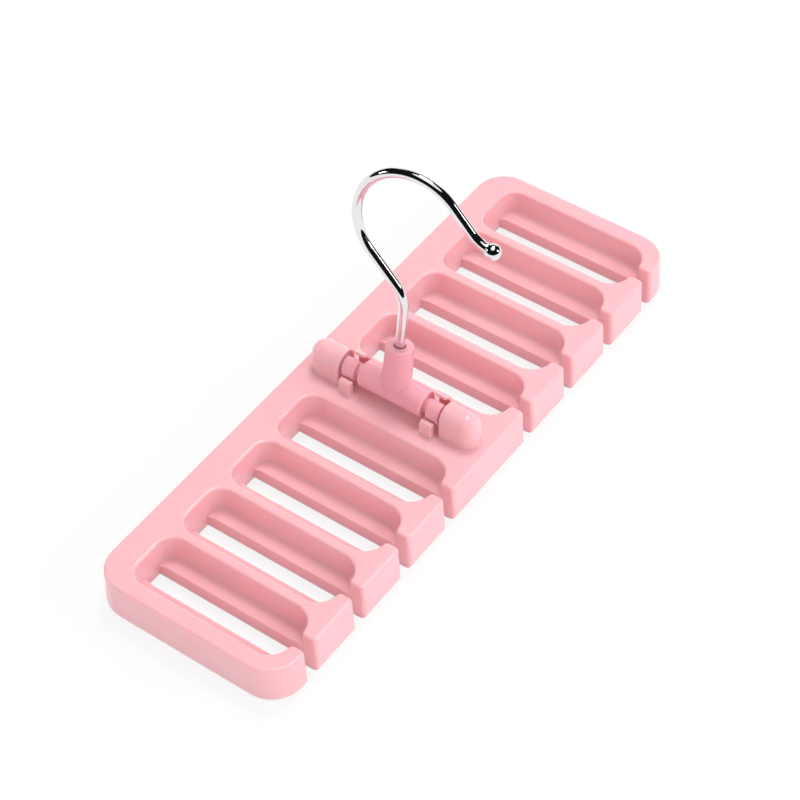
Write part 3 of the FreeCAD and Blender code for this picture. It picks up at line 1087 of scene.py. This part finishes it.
def tee_end(t, side):
    """Rings from the barrel's edge out over its end, the neck, the cam and the journal."""
    rings = []
    for s, c in quarter(EDGE_STEPS):
        y = t.barrel_half - t.barrel_edge * (1 - s)
        rings.append(round_ring(t.barrel_radius - t.barrel_edge * (1 - c), side * y))
    rings.append(round_ring(t.journal_radius, side * t.barrel_half))
    rings.append(round_ring(t.journal_radius, side * t.cam_start))
    for s, c in quarter(CAM_STEPS):
        rings.append(cam_ring(t, side * (t.cam_start + t.cam_edge * (1 - c)), t.cam_edge * (1 - s)))
    for s, c in quarter(CAM_STEPS):
        rings.append(cam_ring(t, side * (t.cam_end - t.cam_edge * (1 - s)), t.cam_edge * (1 - c)))
    rings.append(round_ring(t.journal_radius, side * t.cam_end))
    rings.append(round_ring(t.journal_radius, side * (t.journal_end - t.cam_edge)))
    rings.append(round_ring(t.journal_radius - t.cam_edge, side * t.journal_end))
    return rings


def hinge_tee(t, place):
    """The tee: barrel, bored boss, necks, half-round cams and journals."""
    bm = bmesh.new()
    rows, boss_loop = boss_columns(t)
    add_columns(bm, rows, closed=True)
    around = [2 * math.pi * part for part in steps(OVAL_SIDES)[:-1]]

    def level_ring(radius, z):
        return [Vector((radius * math.cos(a), radius * math.sin(a), z)) for a in around]

    top = t.boss_height
    seat_loop = []
    seat_rim = []
    for a in around:
        x = t.seat_radius * math.cos(a)
        y = t.seat_radius * math.sin(a)
        seat_loop.append(Vector((t.barrel_radius * (math.pi - math.asin(x / t.barrel_radius)), y)))
        seat_rim.append(Vector((x, y, -math.sqrt(t.barrel_radius ** 2 - x * x))))
    bore = [
        [row[0] for row in rows],
        level_ring(t.mouth_radius, top),
        level_ring(t.bore_radius, top - t.mouth_depth),
        level_ring(t.bore_radius, t.seat_height),
        level_ring(t.seat_radius, t.seat_height),
        seat_rim,
    ]
    add_rows(bm, bore, closed=True)
    edge = t.barrel_half - t.barrel_edge
    columns = [t.barrel_radius * math.radians(SEAM + 360 * part) for part in steps(ROUND_SIDES)]
    lines = [-edge + 2 * edge * part for part in steps(BARREL_STEPS)]
    outside = [Vector((u, -edge)) for u in columns]
    outside += [Vector((columns[-1], y)) for y in lines[1:]]
    outside += [Vector((u, edge)) for u in reversed(columns[:-1])]
    outside += [Vector((columns[0], y)) for y in reversed(lines[1:-1])]
    # Points on the barrel's skin keep this far from the boss and the seat
    gap = 0.3 * MM
    holes = [(a, b) for loop in (boss_loop, seat_loop) for a, b in zip(loop, loop[1:] + loop[:1])]

    def is_clear(spot):
        nearest = min((spot - v).length for v in boss_loop + seat_loop)
        return nearest > gap and crossings(spot, holes) % 2 == 0

    extra = [Vector((u, y)) for u in columns[1:-1] for y in lines[1:-1]]
    extra = [spot for spot in extra if is_clear(spot)]
    fill_flat(bm, [outside, boss_loop, seat_loop], lambda v: v, lambda v: on_barrel(t, v.x, v.y), extra)
    for side in (-1, 1):
        made = add_rows(bm, tee_end(t, side), closed=True)
        bm.faces.new(made[-1])
    bmesh.ops.transform(bm, matrix=place, verts=bm.verts)
    return close_mesh(bm, "hinge_tee")


def hinge_place(p, h):
    """Leans a shape made about the barrel's axis and lifts it onto the plate."""
    return Matrix.Translation((0, 0, p.axis_height)) @ Matrix.Rotation(h.lean, 4, "Y")


def hook_place(p, h):
    """The same for the hook and its washer, which are also turned about the stem."""
    return hinge_place(p, h) @ Matrix.Rotation(h.heading, 4, "Z")


class HANGER_OT_tee(bpy.types.Operator):
    """Makes the hinge tee between the domes"""
    bl_idname = "hanger.tee"
    bl_label = "Hinge tee"

    def execute(self, context):
        scene = context.scene
        t = scene.hanger_tee
        material = moulded_polypropylene("Polished moulded polypropylene, mauve", t.mauve, t.pale)
        place = hinge_place(scene.hanger_plate, scene.hanger_hook)
        piece = add_object("tee_moulding", hinge_tee(t, place))
        finish_piece(piece, material, "tee", "hinge_tee", sharp=50)
        return {"FINISHED"}


# The hook and its washer

def hook_line(h):
    """The wire's middle line in the hook's plane, with the wire's thickness at each point as a share."""
    wire = h.wire_radius
    slope = math.degrees(h.neck_slope)
    sine = math.sin(h.neck_slope)
    cosine = math.cos(h.neck_slope)
    neck = ((h.stem_bend + h.bow_radius) * sine - h.stem_bend) / cosine
    lip = math.degrees(h.lip_start)
    sliver = 0.01 * MM
    # What is left of the thickness where the head and the tip close
    head_point = 0.02
    tip_point = 0.01
    bottom = h.head_top - h.head_height
    head = h.head_radius / wire
    narrow = (h.head_radius - h.head_edge) / wire
    line = [
        (Vector((0, bottom)), narrow * head_point),
        (Vector((0, bottom + sliver)), narrow),
        (Vector((0, bottom + h.head_edge)), head),
        (Vector((0, h.head_top - sliver)), head),
        (Vector((0, h.head_top)), 1.0),
    ]
    for part in steps(STEM_STEPS)[1:-1]:
        line.append((Vector((0, spread(h.head_top, h.stem_height, part))), 1.0))
    bend = arc((h.stem_bend, h.stem_height), h.stem_bend, 180, 90 + slope, BEND_STEPS)
    bow_start = bend[-1][0] + neck * Vector((cosine, sine))
    bow_middle = bow_start + h.bow_radius * Vector((-sine, cosine))
    bow = arc(bow_middle, h.bow_radius, slope - 90, lip, BOW_STEPS)
    heading = math.radians(lip + 90)
    ahead = Vector((math.cos(heading), math.sin(heading)))
    outwards = Vector((ahead.y, -ahead.x))
    lip_end = bow[-1][0] + h.lip_length * ahead
    lip_turn = math.degrees(h.lip_turn)
    curl_middle = lip_end + h.lip_bend * outwards
    curl = arc(curl_middle, h.lip_bend, lip + 180, lip + 180 - lip_turn, CURL_STEPS)
    line += [(point, 1.0) for point, _ in bend + bow + curl]
    end = curl[-1][0]
    heading = math.radians(lip + 90 - lip_turn)
    ahead = Vector((math.cos(heading), math.sin(heading)))
    begin = math.degrees(math.acos(-math.sqrt(h.tip_radius ** 2 - wire ** 2) / h.tip_radius))
    for part in steps(TIP_STEPS)[1:]:
        angle = math.radians(begin * (1 - part))
        reach = h.tip_reach + h.tip_radius * math.cos(angle)
        line.append((end + reach * ahead, max(tip_point, h.tip_radius * math.sin(angle) / wire)))
    return line


def wire_curve(h):
    """The middle line as an open curve, thickness in the points' radius."""
    line = hook_line(h)
    curve = bpy.data.curves.new("hook_line", "CURVE")
    curve.dimensions = "3D"
    spline = curve.splines.new("POLY")
    spline.points.add(len(line) - 1)
    for spot, (place, share) in zip(spline.points, line):
        spot.co = (0, place.x, place.y, 1)
        spot.radius = share
    return curve


def wire_tree(material):
    """Geometry nodes that draw a round wire along a line, as thick as the line's points say."""
    tree, given = new_tree("Drawn wire", [("Wire Radius", "Float"), ("Sides", "Int")])
    section = add_node(tree, "GeometryNodeCurvePrimitiveCircle", {"mode": "RADIUS"}, {
        "Resolution": given["Sides"], "Radius": given["Wire Radius"]})
    thickness = add_node(tree, "GeometryNodeInputRadius")
    sweep = add_node(tree, "GeometryNodeCurveToMesh", inputs={
        "Curve": given["Geometry"], "Profile Curve": section.outputs["Curve"],
        "Scale": thickness.outputs["Radius"], "Fill Caps": True})
    real = add_node(tree, "GeometryNodeRealizeInstances", inputs={"Geometry": sweep.outputs["Mesh"]})
    finish = add_node(tree, "GeometryNodeSetMaterial", inputs={
        "Geometry": real.outputs["Geometry"], "Material": material})
    add_node(tree, "NodeGroupOutput", inputs={"Geometry": finish.outputs["Geometry"]})
    return tree


class HANGER_OT_hook(bpy.types.Operator):
    """Makes the plated wire hook along its line"""
    bl_idname = "hanger.hook"
    bl_label = "Swivel hook"

    def execute(self, context):
        scene = context.scene
        h = scene.hanger_hook
        material = plated_metal(
            "Bright nickel-chrome plating on drawn wire", h.plating,
            low=0.04, high=0.08, mark_size=1.2 * MM)
        form = add_object("hook_form", wire_curve(h))
        bm = through_nodes(form, wire_tree(material), {"Wire Radius": h.wire_radius, "Sides": WIRE_SIDES})
        bpy.data.objects.remove(form)
        bmesh.ops.transform(bm, matrix=hook_place(scene.hanger_plate, h), verts=bm.verts)
        piece = add_object("hook_wire", close_mesh(bm, "hook_wire"))
        finish_piece(piece, material, "hook", "swivel_hook")
        return {"FINISHED"}


class HANGER_OT_washer(bpy.types.Operator):
    """Makes the flat washer on the stem's head"""
    bl_idname = "hanger.washer"
    bl_label = "Hook washer"

    def execute(self, context):
        scene = context.scene
        h = scene.hanger_hook
        edge = h.washer_edge
        low = h.head_top
        high = low + h.washer_thickness
        section = [
            (h.washer_hole, low + edge), (h.washer_hole + edge, low), (h.washer_radius - edge, low),
            (h.washer_radius, low + edge), (h.washer_radius, high - edge), (h.washer_radius - edge, high),
            (h.washer_hole + edge, high), (h.washer_hole, high - edge),
        ]
        rings = []
        for radius, z in section + section[:1]:
            rings.append([lift(point, z) for point, _ in arc((0, 0), radius, 0, 360, ROUND_SIDES)[:-1]])
        bm = bmesh.new()
        add_rows(bm, rings, closed=True)
        bmesh.ops.transform(bm, matrix=hook_place(scene.hanger_plate, h), verts=bm.verts)
        material = plated_metal(
            "Passivated zinc plate on steel", h.zinc, low=0.25, high=0.4, mark_size=0.4 * MM)
        piece = add_object("washer_ring", close_mesh(bm, "washer_ring"))
        finish_piece(piece, material, "hook", "hook_washer")
        return {"FINISHED"}


# The stage

def paper_sweep(colour):
    """Matt white paper: it takes the object's soft shadow, and the camera and mirrors see it as white."""
    material = new_material("Matt white paper")
    tree = material.node_tree
    # The rest of what is seen is paper under the lamps, which keeps the shadow
    white_share = 0.85
    share = add_node(tree, "ShaderNodeMath", {"operation": "MULTIPLY"}, {
        0: seen_directly(tree), 1: white_share})
    paper = add_node(tree, "ShaderNodeBsdfDiffuse", inputs={"Color": (*colour, 1)})
    white = add_node(tree, "ShaderNodeEmission", inputs={"Color": (1, 1, 1, 1), "Strength": 1.0})
    mix = add_node(tree, "ShaderNodeMixShader", inputs={
        0: share.outputs["Value"], 1: paper.outputs["BSDF"], 2: white.outputs["Emission"]})
    add_node(tree, "ShaderNodeOutputMaterial", inputs={"Surface": mix.outputs["Shader"]})
    return material


def flag_cloth():
    """Black cloth on the flags: dull and dark, so that bright metal gets its dark bands."""
    material = new_material("Black flag cloth")
    tree = material.node_tree
    cloth = add_node(tree, "ShaderNodeBsdfDiffuse", inputs={"Color": (*linear("1D1D1E"), 1)})
    add_node(tree, "ShaderNodeOutputMaterial", inputs={"Surface": cloth.outputs["BSDF"]})
    return material


def black_flags(radius, low, high):
    """A ring of flags round the set between two elevations, seen only in reflections."""
    rows = []
    for part in steps(FLAG_ROWS):
        rise = spread(low, high, part)
        ring = arc((0, 0), radius * math.cos(rise), 0, 360, ROUND_SIDES)[:-1]
        rows.append([lift(point, radius * math.sin(rise)) for point, _ in ring])
    bm = bmesh.new()
    add_rows(bm, rows, closed=True)
    flags = add_object("black_flags", open_mesh(bm, "black_flags"))
    flags.data.materials.append(flag_cloth())
    flags.visible_camera = False
    flags.visible_diffuse = False
    flags.visible_shadow = False


def studio_world():
    """Pale room light, seen as white behind the object and in mirrors."""
    world = bpy.data.worlds.new("Studio")
    world.use_nodes = True
    tree = world.node_tree
    tree.nodes.clear()
    room = add_node(tree, "ShaderNodeBackground", inputs={"Color": (1.0, 0.99, 0.98, 1), "Strength": 0.5})
    white = add_node(tree, "ShaderNodeBackground", inputs={"Color": (1, 1, 1, 1), "Strength": 1.0})
    mix = add_node(tree, "ShaderNodeMixShader", inputs={
        0: seen_directly(tree), 1: room.outputs["Background"], 2: white.outputs["Background"]})
    add_node(tree, "ShaderNodeOutputWorld", inputs={"Surface": mix.outputs["Shader"]})
    return world


def add_softbox(name, place, size, power, mirrored):
    """A soft lamp that faces the middle of the set."""
    light = bpy.data.lights.new(name, "AREA")
    light.shape = "RECTANGLE"
    light.size, light.size_y = size
    light.energy = power
    lamp = bpy.data.objects.new(name, light)
    bpy.context.scene.collection.objects.link(lamp)
    lamp.location = place
    lamp.rotation_euler = (-Vector(place)).to_track_quat("-Z", "Y").to_euler()
    lamp.visible_glossy = mirrored


def camera_matrix(s):
    """Looks at the target from an azimuth and elevation, with a roll."""
    flat = math.cos(s.elevation)
    back = Vector((math.sin(s.azimuth) * flat, -math.cos(s.azimuth) * flat, math.sin(s.elevation)))
    right = Vector((math.cos(s.azimuth), math.sin(s.azimuth), 0))
    up = back.cross(right)
    rolled_right = math.cos(s.roll) * right + math.sin(s.roll) * up
    rolled_up = -math.sin(s.roll) * right + math.cos(s.roll) * up
    turned = Matrix((rolled_right, rolled_up, back)).transposed().to_4x4()
    return Matrix.Translation(Vector(s.target) + s.distance * back) @ turned


class HANGER_OT_stage(bpy.types.Operator):
    """Sets up the paper sweep, the soft lamps and the camera"""
    bl_idname = "hanger.stage"
    bl_label = "Studio stage"

    def execute(self, context):
        scene = context.scene
        s = scene.hanger_stage
        half = s.floor_size / 2
        corners = [(-half, -half, 0), (half, -half, 0), (half, half, 0), (-half, half, 0)]
        mesh = bpy.data.meshes.new("paper_sweep")
        mesh.from_pydata(corners, [], [(0, 1, 2, 3)])
        mesh.materials.append(paper_sweep(s.floor_white))
        floor = add_object("paper_sweep", mesh)
        scene.world = studio_world()
        black_flags(s.flag_reach, s.flag_low, s.flag_high)
        for lamp in LAMPS:
            add_softbox(*lamp)
        camera = bpy.data.cameras.new("Camera")
        camera.sensor_width = 36
        camera.lens = s.lens
        viewer = bpy.data.objects.new("Camera", camera)
        scene.collection.objects.link(viewer)
        viewer.matrix_world = camera_matrix(s)
        scene.camera = viewer
        scene.view_settings.view_transform = "Standard"
        return {"FINISHED"}


class HANGER_PT_panel(bpy.types.Panel):
    """Lists the pieces and their settings"""
    bl_idname = "HANGER_PT_panel"
    bl_label = "Tie hanger"
    bl_space_type = "VIEW_3D"
    bl_region_type = "UI"
    bl_category = "Tie hanger"

    def draw(self, context):
        for name, (group, operators) in PIECES.items():
            column = self.layout.box().column()
            for operator in operators:
                column.operator(operator.bl_idname)
            settings = getattr(context.scene, name)
            for key in group.__annotations__:
                column.prop(settings, key)


PIECES = {
    "hanger_plate": (PlateSettings, [HANGER_OT_plate]),
    "hanger_tee": (TeeSettings, [HANGER_OT_tee]),
    "hanger_hook": (HookSettings, [HANGER_OT_hook, HANGER_OT_washer]),
    "hanger_stage": (StageSettings, [HANGER_OT_stage]),
}


def register():
    for name, (group, operators) in PIECES.items():
        bpy.utils.register_class(group)
        setattr(bpy.types.Scene, name, PointerProperty(type=group))
        for operator in operators:
            bpy.utils.register_class(operator)
    bpy.utils.register_class(HANGER_PT_panel)


def unregister():
    bpy.utils.unregister_class(HANGER_PT_panel)
    for name, (group, operators) in reversed(PIECES.items()):
        for operator in operators:
            bpy.utils.unregister_class(operator)
        delattr(bpy.types.Scene, name)
        bpy.utils.unregister_class(group)


def main():
    register()
    bpy.ops.hanger.plate()
    bpy.ops.hanger.tee()
    bpy.ops.hanger.hook()
    bpy.ops.hanger.washer()
    bpy.ops.hanger.stage()


if __name__ == "__main__":
    main()
